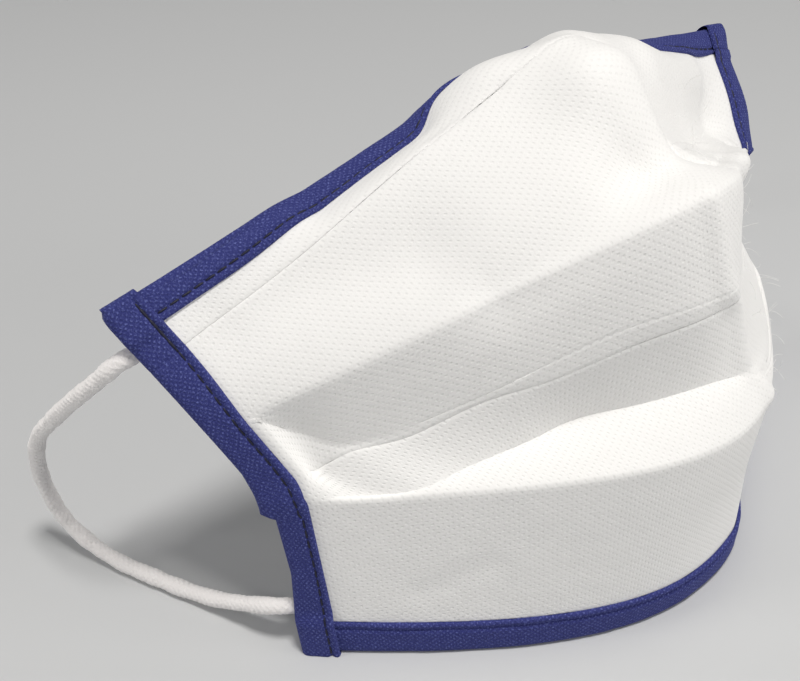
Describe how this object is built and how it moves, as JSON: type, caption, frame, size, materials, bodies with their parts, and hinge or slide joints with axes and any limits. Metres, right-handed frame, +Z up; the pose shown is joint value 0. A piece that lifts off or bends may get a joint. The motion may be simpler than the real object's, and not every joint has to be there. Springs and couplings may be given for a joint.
{
  "type": "cloth face mask",
  "caption": "Pleated white cloth face mask with navy bound edges and round elastic ear loops, opened out and standing on its hem.",
  "frame": {"origin": "on the floor under the middle of the mask without its ear loops", "axes": "+X across the mask towards its right edge, -Y the way the mask faces, +Z up from the hem to the nose"},
  "size_m": [0.195, 0.112, 0.1099],
  "materials": {
    "white_cloth": "white non-woven cloth embossed with small dots",
    "navy_tape": "navy non-woven binding tape embossed with fine dots, stitched along its inner edge",
    "white_elastic": "soft round knitted elastic"
  },
  "bodies": {
    "root": {"mask_body": "white_cloth", "top_binding": "navy_tape", "hem_binding": "navy_tape", "side_binding_left": "navy_tape", "side_binding_right": "navy_tape", "ear_loop_left": "white_elastic", "ear_loop_right": "white_elastic"}
  },
  "joints": []
}
